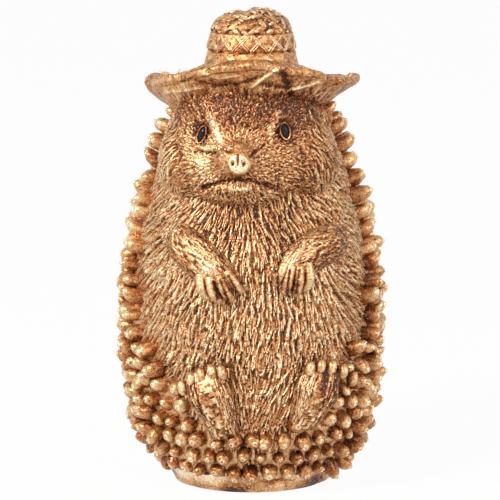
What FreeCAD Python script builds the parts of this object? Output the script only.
import FreeCAD, Part
import math
import os

import Sketcher
from FreeCAD import Placement, Rotation, Vector

# A hedgehog ornament that sits upright on its base, belly to the front, in a straw hat.
# Lengths are in millimetres. The origin is the middle of the flat underside, +Z is up and
# the animal looks along -Y. Left and right are the animal's own, so its left is at +X.

os.makedirs("parts", exist_ok=True)

SIZES = {
    # Base and body
    "base_tall": 2.5,
    "base_radius": 21.3,
    "base_edge_round": 0.8,
    "body_tall": 101.5,
    "body_radius": 31.8,
    "body_lean": 1.1,
    # Head
    "head_radius": 21.5,
    "head_overhang_long": 6.6,
    "muzzle_long": 13.0,
    "muzzle_radius": 12.0,
    "nose_radius": 3.0,
    "nose_thick": 2.2,
    "nostril_radius": 0.55,
    "nostril_deep": 1.0,
    "jaw_radius": 11.5,
    "eye_radius": 2.4,
    "ear_radius": 3.6,
    # Hat
    "brim_radius": 28.8,
    "brim_edge": 1.6,
    "brim_rise": 7.0,
    "brim_tall": 12.4,
    "brim_seat_radius": 20.5,
    "fold_rise": 1.1,
    "crown_radius": 11.8,
    "crown_tall": 13.6,
    "band_tall": 5.2,
    "band_thick": 0.8,
    # Limbs
    "arm_radius": 4.9,
    "wrist_radius": 4.3,
    "paw_long": 5.6,
    "finger_radius": 1.25,
    "finger_long": 4.2,
    "foot_radius": 6.5,
    "foot_thick": 5.0,
    "toe_radius": 1.4,
    "limb_gap": 0.4,
    # Belly fur
    "lock_long": 6.4,
    "lock_radius": 1.0,
    "lock_gap": 7.4,
    # Spines
    "spine_long": 5.2,
    "spine_root_radius": 1.95,
    "spine_tip_radius": 1.0,
    "spine_gap": 4.7,
}

# The brim's top dips between its rim and the crown
BRIM_DIP_RADIUS_SHARE = 0.84

# The crown's sides lean in to the top of the band, and the dome above it has these corners,
# each a share of the radius there and of the rise above the band
CROWN_TAPER_SHARE = 0.90
CROWN_DOME_SHARES = ((1.00, 0.0), (0.97, 0.30), (0.88, 0.58), (0.74, 0.78), (0.56, 0.91),
                     (0.32, 0.98))

DERIVED_SIZES = {
    "brim_dip_radius": f"brim_radius * {BRIM_DIP_RADIUS_SHARE}",
    "brim_top_radius": "crown_radius + band_thick",
    "crown_taper_radius": f"crown_radius * {CROWN_TAPER_SHARE}",
    "band_taper_radius": "crown_taper_radius + band_thick",
}
for corner, (radius_share, rise_share) in enumerate(CROWN_DOME_SHARES):
    DERIVED_SIZES[f"dome_radius_{corner}"] = f"crown_taper_radius * {radius_share}"
    DERIVED_SIZES[f"dome_rise_{corner}"] = f"band_tall + (crown_tall - band_tall) * {rise_share}"

doc = FreeCAD.newDocument("hedgehog_figurine")
sheet = doc.addObject("Spreadsheet::Sheet", "sizes")
sheet_names = []


def write_cell(name, content):
    """Adds a row to the sheet: the name, and the plain number or the formula beside it."""
    sheet_names.append(name)
    row = len(sheet_names)
    sheet.set(f"A{row}", name)
    sheet.set(f"B{row}", content)
    sheet.setAlias(f"B{row}", name)


for name, value in SIZES.items():
    write_cell(name, str(value))
for name, formula in DERIVED_SIZES.items():
    write_cell(name, f"={formula}")
doc.recompute()
size = {name: float(sheet.get(name)) for name in sheet_names}

UP = Vector(0, 0, 1)
BACK = Vector(0, 1, 0)
FULL_TURN = 360.0
HALF_TURN = 180.0
sub_parts = {}


def keep(feature, node):
    """Names a finished feature as the sub-part that is exported under that name."""
    feature.Label = node
    sub_parts[node] = feature
    return feature


def bind(feature, **cells):
    """Ties properties of a feature to expressions on the sheet's cells."""
    for prop, text in cells.items():
        feature.setExpression(prop.replace("__", "."), text)
    return feature


def cut(name, base, *tools):
    """Takes each tool away from the base in turn, so that the two then meet face to face."""
    for number, tool in enumerate(tools, start=1):
        step = doc.addObject("Part::Cut", f"{name}_cut_{number}")
        step.Base = base
        step.Tool = tool
        base = step
    doc.recompute()
    return base


def frame_of(along, seam):
    """A turn that takes +Z along a direction, and +X as near as it can to where the surface's
    seam is wanted."""
    return Rotation(seam, along.cross(seam), along, "ZXY")


def ring(name, radius_text, centre, along, seam):
    """A circle about a point, square to a direction: one section of a body or limb. The seam
    is on the side that meets nothing, so that the pieces cut each other cleanly."""
    circle = doc.addObject("Part::Circle", name)
    bind(circle, Radius=radius_text)
    circle.Placement = Placement(centre, frame_of(along, seam))
    return circle


def loft(name, rings):
    """A closed solid through circles in order."""
    solid = doc.addObject("Part::Loft", name)
    solid.Sections = rings
    solid.Solid = True
    doc.recompute()
    return solid


def ball(name, radius_text, centre, pole, seam):
    """A sphere about a point, its pole along a direction."""
    sphere = bind(doc.addObject("Part::Sphere", name), Radius=radius_text)
    sphere.Placement = Placement(centre, frame_of(pole, seam))
    doc.recompute()
    return sphere


def side_face(feature):
    """The one curved face of a loft."""
    return max(feature.Shape.Faces, key=lambda face: face.Area)


# A height on a loft's side is found to within this share of its length
LEVEL_STEPS = 100000


def skin(face, level, turn):
    """The point and outward normal of a loft's side at a height, at a turn in degrees from
    the front towards the animal's left."""
    u_low, u_high, v_low, v_high = face.ParameterRange
    u = u_low + (u_high - u_low) * (((turn + HALF_TURN) / FULL_TURN) % 1)
    low, high = v_low, v_high
    while high - low > (v_high - v_low) / LEVEL_STEPS:
        middle = (low + high) / 2
        if face.valueAt(u, middle).z < level:
            low = middle
        else:
            high = middle
    return face.valueAt(u, low), face.normalAt(u, low)


# Base: a low plain disc with a rounded edge, the smooth rim below the lowest spines
def make_base():
    disc = bind(doc.addObject("Part::Cylinder", "base_disc"), Radius="sizes.base_radius",
                Height="sizes.base_tall")
    doc.recompute()
    rounded = doc.addObject("Part::Fillet", "base_round")
    rounded.Base = disc
    top_and_bottom = [number for number, edge in enumerate(disc.Shape.Edges, start=1)
                      if edge.Closed and hasattr(edge.Curve, "Radius")]
    rounded.Edges = [(number, size["base_edge_round"], size["base_edge_round"])
                     for number in top_and_bottom]
    doc.recompute()
    return keep(rounded, "base_rim")


# Body: an egg of round sections, each a share of the height, of the radius and of the lean
BODY_SECTION_SHARES = (
    (0.000, 0.645, 0.0),
    (0.035, 0.740, 0.0),
    (0.105, 0.865, 0.2),
    (0.222, 0.960, 0.4),
    (0.370, 1.000, 0.6),
    (0.528, 0.984, 0.8),
    (0.665, 0.912, 1.0),
    (0.783, 0.818, 0.8),
    (0.901, 0.686, 0.5),
    (1.000, 0.550, 0.0),
)


def make_body():
    rings = []
    for number, (level_share, radius_share, lean_share) in enumerate(BODY_SECTION_SHARES):
        circle = ring(f"body_ring_{number}", f"sizes.body_radius * {radius_share}", Vector(),
                      UP, BACK)
        bind(circle, Placement__Base__y=f"sizes.body_lean * {lean_share}",
             Placement__Base__z=f"sizes.base_tall + sizes.body_tall * {level_share}")
        rings.append(circle)
    return keep(loft("body_loft", rings), "body")


def body_level(share):
    return size["base_tall"] + size["body_tall"] * share


# Head: a rounder mass that leans forward out of the body's top, flat where the hat sits.
# Each section is a share of the height, of the radius, and of how far it stands out of the
# body's front
HEAD_SECTION_SHARES = (
    (0.68, 0.30, -0.60),
    (0.71, 0.58, -0.12),
    (0.77, 0.88, 0.36),
    (0.85, 1.00, 0.78),
    (0.93, 0.93, 1.00),
    (1.00, 0.74, 0.86),
)


def make_head(body):
    rings = []
    for number, (level_share, radius_share, out_share) in enumerate(HEAD_SECTION_SHARES):
        front = skin(side_face(body), body_level(level_share), 0)[0]
        front.y += size["head_radius"] * radius_share - size["head_overhang_long"] * out_share
        rings.append(ring(f"head_ring_{number}", f"sizes.head_radius * {radius_share}", front,
                          UP, BACK))
    mass = loft("head_loft", rings)
    return mass, keep(cut("head", mass, body), "head")


# Muzzle: a short cone with a full root, aimed forward and slightly up and to the right side.
# Its root's middle lies inside the head, behind a point of the head's skin
MUZZLE_LEVEL_SHARE = 0.855
MUZZLE_TURN = -6.0
MUZZLE_SINK_SHARE = 0.55
MUZZLE_AIM = Vector(-0.13, -1.0, 0.20).normalize()
MUZZLE_SECTION_SHARES = ((0.0, 1.00), (0.30, 0.93), (0.62, 0.64), (0.86, 0.37), (1.0, 0.27))


def muzzle_point(head_mass, along_share):
    root, normal = skin(side_face(head_mass), body_level(MUZZLE_LEVEL_SHARE), MUZZLE_TURN)
    root -= normal * (size["muzzle_radius"] * MUZZLE_SINK_SHARE)
    return root + MUZZLE_AIM * (size["muzzle_long"] * along_share)


def make_muzzle(body, head_mass):
    rings = [ring(f"muzzle_ring_{number}", f"sizes.muzzle_radius * {radius_share}",
                  muzzle_point(head_mass, along_share), MUZZLE_AIM, UP)
             for number, (along_share, radius_share) in enumerate(MUZZLE_SECTION_SHARES)]
    mass = loft("muzzle_loft", rings)
    return mass, keep(cut("muzzle", mass, head_mass, body), "muzzle")


# Nose: a round pad with a soft edge and two nostrils, seated on the muzzle's flat tip
NOSTRIL_SIDE_SHARE = 0.42
NOSE_EDGE_SHARE = 0.55


def plane_of(body, role):
    return next(plane for plane in body.Origin.OriginFeatures if plane.Role == role)


def sketch_on(body, name, role):
    sketch = body.newObject("Sketcher::SketchObject", name)
    sketch.AttachmentSupport = [(plane_of(body, role), "")]
    sketch.MapMode = "FlatFace"
    return sketch


def add_circle(sketch, centre_x, radius, side_text, radius_text):
    """A circle on the sketch's X axis, with its place and radius bound to the sheet."""
    number = sketch.addGeometry(Part.Circle(Vector(centre_x, 0, 0), UP, radius), False)
    sketch.addConstraint(Sketcher.Constraint("PointOnObject", number, 3, -1))
    if side_text is None:
        sketch.addConstraint(Sketcher.Constraint("PointOnObject", number, 3, -2))
    else:
        place = sketch.addConstraint(
            Sketcher.Constraint("DistanceX", -1, 1, number, 3, centre_x))
        sketch.setExpression(f"Constraints[{place}]", side_text)
    width = sketch.addConstraint(Sketcher.Constraint("Radius", number, radius))
    sketch.setExpression(f"Constraints[{width}]", radius_text)
    return number


def make_nose(head_mass):
    nose = doc.addObject("PartDesign::Body", "nose_body")
    outline = sketch_on(nose, "nose_outline", "XY_Plane")
    add_circle(outline, 0, size["nose_radius"], None, "sizes.nose_radius")
    pad = nose.newObject("PartDesign::Pad", "nose_pad")
    pad.Profile = outline
    bind(pad, Length="sizes.nose_thick")
    doc.recompute()
    soft_edge = nose.newObject("PartDesign::Fillet", "nose_soft_edge")
    front_edges = [f"Edge{number}" for number, edge in enumerate(pad.Shape.Edges, start=1)
                   if edge.Closed and edge.BoundBox.ZMin > size["nose_thick"] / 2]
    soft_edge.Base = (pad, front_edges)
    bind(soft_edge, Radius=f"sizes.nose_thick * {NOSE_EDGE_SHARE}")
    doc.recompute()
    nostrils = nose.newObject("Sketcher::SketchObject", "nostrils")
    nostrils.AttachmentSupport = [(plane_of(nose, "XY_Plane"), "")]
    nostrils.MapMode = "FlatFace"
    bind(nostrils, AttachmentOffset__Base__z="sizes.nose_thick")
    for sign in (-1, 1):
        side_share = sign * NOSTRIL_SIDE_SHARE
        add_circle(nostrils, size["nose_radius"] * side_share, size["nostril_radius"],
                   f"sizes.nose_radius * {side_share}", "sizes.nostril_radius")
    pocket = nose.newObject("PartDesign::Pocket", "nostril_pocket")
    pocket.Profile = nostrils
    bind(pocket, Length="sizes.nostril_deep")
    doc.recompute()
    nose.Placement = Placement(muzzle_point(head_mass, 1), Rotation(UP, MUZZLE_AIM))
    return keep(nose, "nose")


# Lower jaw: a shallow round chin that shows below the muzzle
JAW_DROP_SHARE = 0.60
JAW_TURN = -5.0
JAW_OUT_SHARE = 0.20


def make_jaw(body, head_mass, muzzle_mass):
    level = body_level(MUZZLE_LEVEL_SHARE) - size["muzzle_radius"] * JAW_DROP_SHARE
    point, normal = skin(side_face(head_mass), level, JAW_TURN)
    centre = point - normal * (size["jaw_radius"] * (1 - JAW_OUT_SHARE))
    chin = ball("jaw_ball", "sizes.jaw_radius", centre, normal, -UP)
    return keep(cut("jaw", chin, head_mass, muzzle_mass, body), "lower_jaw")


# Eyes: domes that stand on the head's skin. Ears: balls cut so that each seats on its skin
EYE_RISE_SHARE = 0.76
EYE_TURNS = {"right": -34.0, "left": 25.0}
EYE_CUT_ANGLE = 25.0
EAR_TURNS = {"right": -60.0, "left": 60.0}
EAR_OUT_SHARE = 0.10


def outermost(level, turn, shapes):
    """The furthest point of some shapes from the body's axis, at a height and a turn."""
    way = Vector(math.sin(math.radians(turn)), -math.cos(math.radians(turn)), 0)
    start = Vector(0, 0, level)
    ray = Part.makeLine(start, start + way * (size["body_radius"] + size["head_radius"]))
    reach = max(vertex.Point.distanceToPoint(start)
                for shape in shapes for vertex in ray.common(shape).Vertexes)
    return start + way * reach, way


def make_eye(side, head_mass):
    level = body_level(MUZZLE_LEVEL_SHARE) + size["muzzle_radius"] * EYE_RISE_SHARE
    point, normal = skin(side_face(head_mass), level, EYE_TURNS[side])
    sink = size["eye_radius"] * math.sin(math.radians(EYE_CUT_ANGLE))
    eye = ball(f"{side}_eye_dome", "sizes.eye_radius", point - normal * sink, normal, UP)
    eye.Angle1 = EYE_CUT_ANGLE
    return keep(eye, f"{side}_eye")


def make_ear(side, body, head_mass):
    level = body_level(1) - size["ear_radius"]
    shapes = (body.Shape, head_mass.Shape)
    point, way = outermost(level, EAR_TURNS[side], shapes)
    ear = ball(f"{side}_ear_ball", "sizes.ear_radius",
               point + way * (size["ear_radius"] * EAR_OUT_SHARE), way, UP)
    return keep(cut(f"{side}_ear", ear, body, head_mass), f"{side}_ear")


# Hat: a brim that seats on the head, and a crown and its woven band on the brim


def hold(sketch, direction, number, cell):
    """Ties one coordinate of a corner to a cell, or to the sketch's own axis if it is zero."""
    if cell is None:
        axis = -2 if direction == "DistanceX" else -1
        sketch.addConstraint(Sketcher.Constraint("PointOnObject", number, 1, axis))
        return
    place = sketch.addConstraint(
        Sketcher.Constraint(direction, -1, 1, number, 1, size[cell]))
    sketch.setExpression(f"Constraints[{place}]", f"sizes.{cell}")


def turned(name, corners, height):
    """A solid of revolution that stands on a height. Each corner of its profile is the cell
    of a radius and the cell of a height, or None for zero."""
    body = doc.addObject("PartDesign::Body", f"{name}_body")
    sketch = sketch_on(body, f"{name}_profile", "XZ_Plane")
    count = len(corners)
    points = [Vector(size.get(radius, 0), size.get(rise, 0), 0) for radius, rise in corners]
    for number in range(count):
        sketch.addGeometry(Part.LineSegment(points[number], points[(number + 1) % count]), False)
    for number in range(count):
        follows = (number + 1) % count
        sketch.addConstraint(Sketcher.Constraint("Coincident", number, 2, follows, 1))
    for number, (radius, rise) in enumerate(corners):
        hold(sketch, "DistanceX", number, radius)
        hold(sketch, "DistanceY", number, rise)
    solid = body.newObject("PartDesign::Revolution", f"{name}_turn")
    solid.Profile = sketch
    solid.ReferenceAxis = (sketch, ["V_Axis"])
    solid.Angle = FULL_TURN
    doc.recompute()
    body.Placement = Placement(Vector(0, 0, height), Rotation())
    return body


# The brim's rim is turned up in front and to the animal's right, and drops in a torn fold beside
# that. The rim's height is given by turns from the front, as a share of its height at the back
RIM_RISE_SHARES = ((-180.0, 1.00), (-110.0, 0.98), (-90.0, 1.07), (-60.0, 1.48), (-43.0, 1.84),
                   (-25.0, 1.93), (-5.0, 1.88), (13.0, 1.82), (22.0, 1.05), (40.0, 1.25),
                   (57.0, 1.27), (75.0, 1.15), (90.0, 1.07), (110.0, 0.97), (180.0, 1.00))
BRIM_SECTORS = 36
DIP_FOLLOW_SHARE = 0.40
FOLD_EVERY = 3


def between(table, place):
    """The value at a place between the rows of a table, each row a place and a value."""
    for (low, low_value), (high, high_value) in zip(table, table[1:]):
        if low <= place <= high:
            return low_value + (high_value - low_value) * (place - low) / (high - low)
    return table[-1][1]


def brim_corners(number):
    """The corners of the brim's section at one turn, from the seat round to the top. Every
    third section has a fold of the straw that stands up on the slope."""
    turn = FULL_TURN * number / BRIM_SECTORS - HALF_TURN
    way = Vector(math.sin(math.radians(turn)), -math.cos(math.radians(turn)), 0)
    rim = size["brim_rise"] * between(RIM_RISE_SHARES, turn)
    dip = size["brim_rise"] + (rim - size["brim_rise"]) * DIP_FOLLOW_SHARE
    slope_radius = (size["brim_dip_radius"] + size["brim_top_radius"]) / 2
    slope = (dip + size["brim_tall"]) / 2
    if number % FOLD_EVERY == 0:
        slope += size["fold_rise"]
    places = (
        (size["brim_seat_radius"], 0),
        (size["brim_radius"], rim - size["brim_edge"]),
        (size["brim_radius"], rim),
        (size["brim_dip_radius"], dip),
        (slope_radius, slope),
        (size["brim_top_radius"], size["brim_tall"]),
    )
    return [way * radius + UP * (body_level(1) + rise) for radius, rise in places]


def facet(*corners):
    return Part.Face(Part.makePolygon([*corners, corners[0]]))


def make_brim():
    sections = [brim_corners(number) for number in range(BRIM_SECTORS)]
    faces = [facet(*(section[0] for section in sections)),
             facet(*(section[-1] for section in sections))]
    for here, following in zip(sections, sections[1:] + sections[:1]):
        for corner in range(len(here) - 1):
            faces.append(facet(here[corner], following[corner], following[corner + 1]))
            faces.append(facet(here[corner], following[corner + 1], here[corner + 1]))
    solid = Part.makeSolid(Part.makeShell(faces))
    if solid.Volume < 0:
        solid.reverse()
    brim = doc.addObject("Part::Feature", "brim_facets")
    brim.Shape = solid
    brim.Placement = Placement()
    return keep(brim, "hat_brim")


def make_crown():
    corners = [(None, None), ("crown_radius", None)]
    corners += [(f"dome_radius_{corner}", f"dome_rise_{corner}")
                for corner in range(len(CROWN_DOME_SHARES))]
    corners.append((None, "crown_tall"))
    return keep(turned("crown", corners, body_level(1) + size["brim_tall"]), "hat_crown")


def make_band():
    corners = (
        ("crown_radius", None),
        ("brim_top_radius", None),
        ("band_taper_radius", "band_tall"),
        ("crown_taper_radius", "band_tall"),
    )
    return keep(turned("band", corners, body_level(1) + size["brim_tall"]), "hat_band")


def skin_normal(face, point):
    """The outward normal of a loft's side beside a point."""
    return skin(face, point.z, math.degrees(math.atan2(point.x, -point.y)))[1]


# Arms: each one bends across the chest, its sections set on the body's skin by a height
# share, a turn and how far they stand out, as a share of their own radius
ARM_PATHS = {
    "right": ((0.650, -42.0, 0.05), (0.630, -31.0, 0.30), (0.590, -19.5, 0.55)),
    "left": ((0.635, 49.0, 0.05), (0.630, 37.0, 0.30), (0.605, 23.5, 0.55)),
}
ARM_RADIUS_SHARES = (0.86, 1.0)
PAW_AIMS = {
    "right": Vector(0.30, -0.05, -1.00).normalize(),
    "left": Vector(-0.02, -0.08, -1.00).normalize(),
}
PAW_SECTION_SHARES = ((0.40, 1.10), (0.40, 1.14), (0.20, 1.04))
FINGER_PLACES = (-1.5, -0.5, 0.5, 1.5)
DIGIT_STEP_SHARE = 2.08
FINGER_OUT_SHARE = 0.30


def path_points(face, path, radii):
    points = []
    for (level_share, turn, out_share), radius in zip(path, radii):
        point, normal = skin(face, body_level(level_share), turn)
        points.append(point + normal * (radius * out_share))
    return points


def make_arm(side, body):
    shoulder_share, elbow_share = ARM_RADIUS_SHARES
    texts = (f"sizes.arm_radius * {shoulder_share}", f"sizes.arm_radius * {elbow_share}",
             "sizes.wrist_radius")
    radii = (size["arm_radius"] * shoulder_share, size["arm_radius"] * elbow_share,
             size["wrist_radius"])
    face = side_face(body)
    centres = path_points(face, ARM_PATHS[side], radii)
    shoulder, elbow, wrist = centres
    arm_way = (wrist - elbow).normalize()
    ways = (elbow - shoulder, wrist - shoulder, arm_way + PAW_AIMS[side])
    rings = [ring(f"{side}_arm_ring_{number}", text, centre, way, skin_normal(face, centre))
             for number, (text, centre, way) in enumerate(zip(texts, centres, ways))]
    mass = loft(f"{side}_arm_loft", rings)
    arm = keep(cut(f"{side}_arm", mass, body), f"{side}_arm")
    return arm, rings[-1], wrist, ways[-1].normalize()


def make_paw(side, body, wrist_ring, centre, way):
    face = side_face(body)
    rings = [wrist_ring]
    for number, (step_share, radius_share) in enumerate(PAW_SECTION_SHARES):
        normal = skin_normal(face, centre)
        way = way + PAW_AIMS[side]
        way = (way - normal * normal.dot(way)).normalize()
        centre = centre + way * (size["paw_long"] * step_share)
        rings.append(ring(f"{side}_paw_ring_{number}", f"sizes.wrist_radius * {radius_share}",
                          centre, way, normal))
    mass = loft(f"{side}_paw_loft", rings)
    paw = keep(cut(f"{side}_paw", mass, body), f"{side}_paw")
    return paw, centre, way


# Pegs: a cone with a round end, its root face in the XY plane. Fingers and spines are pegs
def peg(root_radius, tip_radius, length):
    shoulder = length - tip_radius
    middle = tip_radius * math.sqrt(1 / 2)
    outline = Part.Wire([
        Part.LineSegment(Vector(0, 0, 0), Vector(root_radius, 0, 0)).toShape(),
        Part.LineSegment(Vector(root_radius, 0, 0), Vector(tip_radius, 0, shoulder)).toShape(),
        Part.Arc(Vector(tip_radius, 0, shoulder), Vector(middle, 0, shoulder + middle),
                 Vector(0, 0, length)).toShape(),
        Part.LineSegment(Vector(0, 0, length), Vector(0, 0, 0)).toShape(),
    ])
    return Part.Face(outline).revolve(Vector(0, 0, 0), UP, FULL_TURN)


def group(name, solids):
    feature = doc.addObject("Part::Feature", name)
    feature.Shape = Part.makeCompound(solids)
    feature.Placement = Placement()
    return feature


FINGER_TIP_SHARE = 0.75


def make_fingers(side, paw_end, aim):
    across = aim.cross(Vector(0, -1, 0)).normalize()
    out = aim.cross(across).normalize()
    solids = []
    for place in FINGER_PLACES:
        root = paw_end + across * (size["finger_radius"] * DIGIT_STEP_SHARE * place)
        root += out * (size["finger_radius"] * FINGER_OUT_SHARE)
        finger = peg(size["finger_radius"], size["finger_radius"] * FINGER_TIP_SHARE,
                     size["finger_long"])
        finger.Placement = Placement(root, Rotation(UP, aim))
        solids.append(finger)
    return keep(group(f"{side}_finger_row", solids), f"{side}_fingers")


# Feet: the soles face the front. Each foot is a loft on the body's skin from the heel, at a
# height share and a turn, to the ball of the foot, and its sole is cut flat
FOOT_PATHS = {
    "right": ((0.172, -13.5), (0.300, -22.0)),
    "left": ((0.195, 26.5), (0.320, 34.5)),
}
FOOT_SECTION_SHARES = ((0.0, 0.66), (0.18, 0.84), (0.55, 0.94), (0.88, 1.00), (1.0, 0.92))
FOOT_OUT_SHARE = 0.42
SOLE_FRONT_SHARE = 0.6
TOE_LONG_SHARES = {-2: 1.25, -1: 1.65, 0: 1.85, 1: 1.80, 2: 1.45}
TOE_TIP_SHARE = 0.85
TOE_OUT_SHARE = 0.26


def make_foot(side, body):
    face = side_face(body)
    heel, ball_centre = (skin(face, body_level(level_share), turn)
                         for level_share, turn in FOOT_PATHS[side])
    front = Vector(0, -1, 0) * SOLE_FRONT_SHARE
    aim = (ball_centre[0] - heel[0]).normalize()
    out = heel[1] + ball_centre[1] + front
    out = (out - aim * aim.dot(out)).normalize()
    centres = [point + out * (size["foot_thick"] * FOOT_OUT_SHARE)
               for point, _ in (heel, ball_centre)]
    rings = []
    for number, (along_share, radius_share) in enumerate(FOOT_SECTION_SHARES):
        centre = centres[0] + (centres[1] - centres[0]) * along_share
        rings.append(ring(f"{side}_foot_ring_{number}", f"sizes.foot_radius * {radius_share}",
                          centre, aim, out))
    mass = loft(f"{side}_foot_loft", rings)
    sole = doc.addObject("Part::Box", f"{side}_sole_plane")
    bind(sole, Length="sizes.body_radius * 2", Width="sizes.body_radius * 2",
         Height="sizes.body_radius * 2")
    doc.recompute()
    reach = size["body_radius"]
    across = out.cross(aim)
    middle = (heel[0] + ball_centre[0]) / 2 + out * size["foot_thick"]
    sole.Placement = Placement(middle - aim * reach - across * reach,
                               Rotation(across, aim, out, "ZXY"))
    foot = keep(cut(f"{side}_foot", mass, sole, body), f"{side}_foot")
    return foot, centres[1], aim, across, out


def make_toes(side, ball_centre, aim, across, out):
    mirror = 1 if side == "left" else -1
    toes = []
    for place, long_share in TOE_LONG_SHARES.items():
        root = ball_centre + out * (size["foot_thick"] * TOE_OUT_SHARE)
        root += across * (mirror * size["toe_radius"] * DIGIT_STEP_SHARE * place)
        toe = peg(size["toe_radius"], size["toe_radius"] * TOE_TIP_SHARE,
                  size["toe_radius"] * long_share)
        toe.Placement = Placement(root, Rotation(UP, aim))
        toes.append(toe)
    return keep(group(f"{side}_toe_row", toes), f"{side}_toes")


# Spines: rows of pegs that stand on the body's skin, each row turned half a step from the
# one below. The fur of the belly and face has none: its half angle is given by height
FUR_HALF_ANGLES = ((0.00, 0.0), (0.145, 0.0), (0.19, 27.0), (0.31, 46.0), (0.40, 62.0),
                   (0.60, 74.0), (0.76, 79.0), (0.96, 92.0))
SPINE_LOW_SHARE = 0.045
SPINE_HIGH_SHARE = 0.965
NAPE_SHARE = 0.80
BACK_HALF_ANGLE = 55.0
FRONT_HALF_ANGLE = 50.0
LOW_FRONT_SHARE = 0.30
SPINE_STUB_SHARE = 0.72
ROW_STEP_SHARE = 0.90


def spine_zone(level_share, turn):
    """The name of the group that a spine belongs to, by its height and its turn."""
    from_front = abs(turn)
    if level_share > NAPE_SHARE:
        return "spines_nape"
    if HALF_TURN - from_front < BACK_HALF_ANGLE:
        return "spines_back"
    if level_share < LOW_FRONT_SHARE and from_front < FRONT_HALF_ANGLE:
        return "spines_front"
    return "spines_left" if turn > 0 else "spines_right"


def places_on(face, low_share, high_share, gap):
    """Height shares and turns of even rows on the body's skin, each row half a step on."""
    rise = size["body_tall"] * (high_share - low_share)
    rows = max(2, round(rise / (gap * ROW_STEP_SHARE)))
    for number in range(rows):
        level_share = low_share + (high_share - low_share) * number / (rows - 1)
        front = skin(face, body_level(level_share), 0)[0]
        back = skin(face, body_level(level_share), HALF_TURN)[0]
        count = math.floor(math.pi * front.distanceToPoint(back) / gap)
        for place in range(count):
            turn = FULL_TURN * (place + (number % 2) / 2) / count
            yield level_share, (turn + HALF_TURN) % FULL_TURN - HALF_TURN


def too_near(middle, half_width, others):
    """Whether a piece about a point would come within the gap kept round others."""
    centre = Part.Vertex(middle)
    room = half_width + size["limb_gap"]
    return any(centre.distToShape(other.Shape)[0] < room for other in others)


def make_spines(body, head_mass, feet):
    keep_clear = {"spines_front": feet, "spines_nape": [head_mass]}
    face = side_face(body)
    spine = peg(size["spine_root_radius"], size["spine_tip_radius"], size["spine_long"])
    stub = peg(size["spine_root_radius"], size["spine_tip_radius"],
               size["spine_long"] * SPINE_STUB_SHARE)
    zones = {}
    roots = []
    for level_share, turn in places_on(face, SPINE_LOW_SHARE, SPINE_HIGH_SHARE,
                                       size["spine_gap"]):
        if abs(turn) < between(FUR_HALF_ANGLES, level_share):
            continue
        point, normal = skin(face, body_level(level_share), turn)
        zone = spine_zone(level_share, turn)
        middle = point + normal * (size["spine_long"] * SPINE_STUB_SHARE / 2)
        if too_near(middle, size["spine_root_radius"], keep_clear.get(zone, ())):
            continue
        peg_here = (stub if zone == "spines_front" else spine).copy()
        peg_here.Placement = Placement(point, Rotation(UP, normal))
        zones.setdefault(zone, []).append(peg_here)
        roots.append(point)
    for zone, solids in zones.items():
        keep(group(f"{zone}_group", solids), zone)
        print(zone, len(solids))
    return roots


# Belly fur: a few large locks that lie on the skin, low at the root and widest near the tip.
# They hang straight down in the middle and lean outwards on the flanks
LOCK_LOW_SHARE = 0.20
LOCK_HIGH_SHARE = 0.72
LOCK_WIDEST_SHARE = 0.62
LOCK_LEAN_SHARE = 0.8
LOCK_LEAN_MAX = 44.0


def fur_lock(radius, length):
    """Half a spindle about the middle of the XY plane, its flat side down, its tip at +X."""
    root, tip = Vector(-length / 2, 0, 0), Vector(length / 2, 0, 0)
    widest = Vector(length * (LOCK_WIDEST_SHARE - 1 / 2), radius, 0)
    outline = Part.makePolygon([root, tip, widest, root])
    return Part.Face(outline).revolve(Vector(0, 0, 0), Vector(1, 0, 0), HALF_TURN)


def make_fur_locks(body, others, spine_roots):
    face = side_face(body)
    half_long = size["lock_long"] / 2
    spine_room = half_long + size["spine_root_radius"] + size["limb_gap"]
    locks = []
    for level_share, turn in places_on(face, LOCK_LOW_SHARE, LOCK_HIGH_SHARE, size["lock_gap"]):
        if abs(turn) > between(FUR_HALF_ANGLES, level_share):
            continue
        point, normal = skin(face, body_level(level_share), turn)
        if any(point.distanceToPoint(root) < spine_room for root in spine_roots):
            continue
        if too_near(point, half_long, others):
            continue
        across = UP.cross(normal).normalize()
        lean = math.radians(max(-LOCK_LEAN_MAX, min(LOCK_LEAN_MAX, turn * LOCK_LEAN_SHARE)))
        hang = across.cross(normal) * math.cos(lean) + across * math.sin(lean)
        lock = fur_lock(size["lock_radius"], size["lock_long"])
        lock.Placement = Placement(point, frame_of(normal, hang))
        locks.append(lock)
    print("belly_fur_locks", len(locks))
    return keep(group("fur_lock_group", locks), "belly_fur_locks")


make_base()
body = make_body()
head_mass, head = make_head(body)
muzzle_mass, muzzle = make_muzzle(body, head_mass)
make_nose(head_mass)
jaw = make_jaw(body, head_mass, muzzle_mass)
make_brim()
make_crown()
make_band()
feet = []
hands = []
for side in ("left", "right"):
    make_eye(side, head_mass)
    make_ear(side, body, head_mass)
    arm, wrist_ring, wrist, wrist_way = make_arm(side, body)
    paw, paw_end, aim = make_paw(side, body, wrist_ring, wrist, wrist_way)
    hands += [arm, paw, make_fingers(side, paw_end, aim)]
    foot, ball_centre, aim, across, out = make_foot(side, body)
    toes = make_toes(side, ball_centre, aim, across, out)
    feet += [foot, toes]
spine_roots = make_spines(body, head_mass, feet)
make_fur_locks(body, [head_mass, jaw, *hands, *feet], spine_roots)
doc.recompute()

for feature in doc.Objects:
    if {"Invalid", "Error"} & set(feature.State):
        raise RuntimeError(f"{feature.Name} did not compute: {feature.State}")
for node, feature in sub_parts.items():
    if feature.Shape.isNull() or not feature.Shape.isValid():
        raise RuntimeError(f"{node} has no valid shape")
for node, feature in sub_parts.items():
    feature.Shape.exportStep(f"parts/{node}.step")
    print(node, len(feature.Shape.Solids), round(feature.Shape.Volume, 1))
